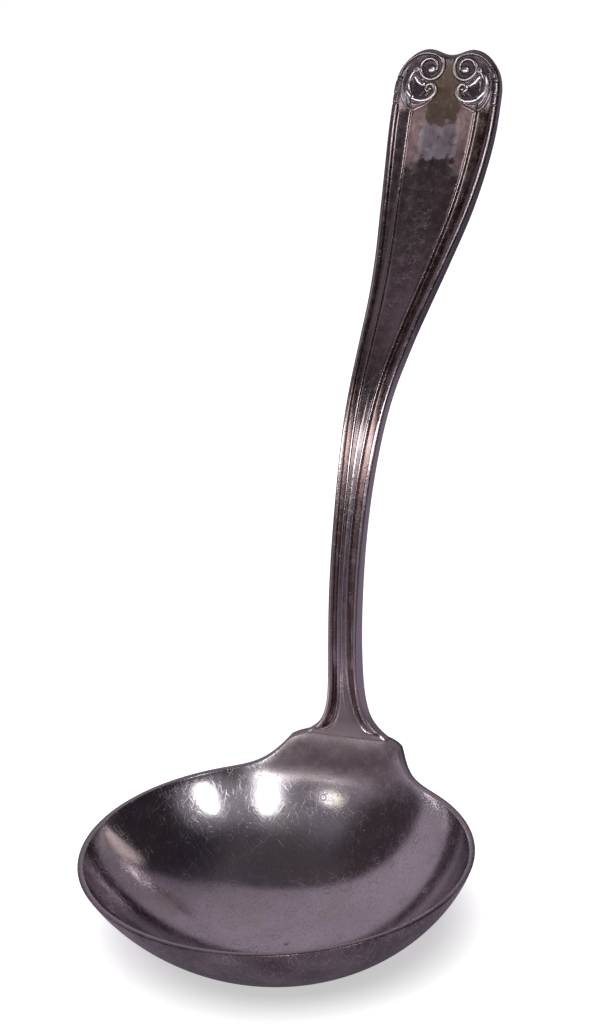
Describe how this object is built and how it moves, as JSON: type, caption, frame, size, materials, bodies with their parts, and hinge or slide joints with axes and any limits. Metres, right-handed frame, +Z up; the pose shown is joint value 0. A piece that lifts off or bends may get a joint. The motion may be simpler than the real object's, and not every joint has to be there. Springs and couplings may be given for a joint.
{
  "type": "serving ladle",
  "caption": "Serving ladle: wide oval bowl with two shoulders at its back, soldered to a long, upswept, threaded handle with a scrolled tip.",
  "frame": {"origin": "middle of the small flat under the bowl, with the bowl's rim level", "axes": "+Z up, +Y from the bowl's lip towards the handle, +X to the right across the bowl; the row is mirror-symmetric in X"},
  "size_m": [0.1004, 0.2053, 0.1706],
  "materials": {
    "bowl_metal": "tarnished silver plate, polished, finely scratched",
    "handle_metal": "tarnished silver plate, dark and brownish in the channels",
    "solder": "silver solder, filed smooth",
    "scroll_metal": "tarnished silver plate, worn bright on the raised threads"
  },
  "bodies": {
    "root": {"bowl": "bowl_metal", "handle": "handle_metal", "solder_seam": "solder", "scroll_left": "scroll_metal", "scroll_right": "scroll_metal"}
  },
  "joints": []
}
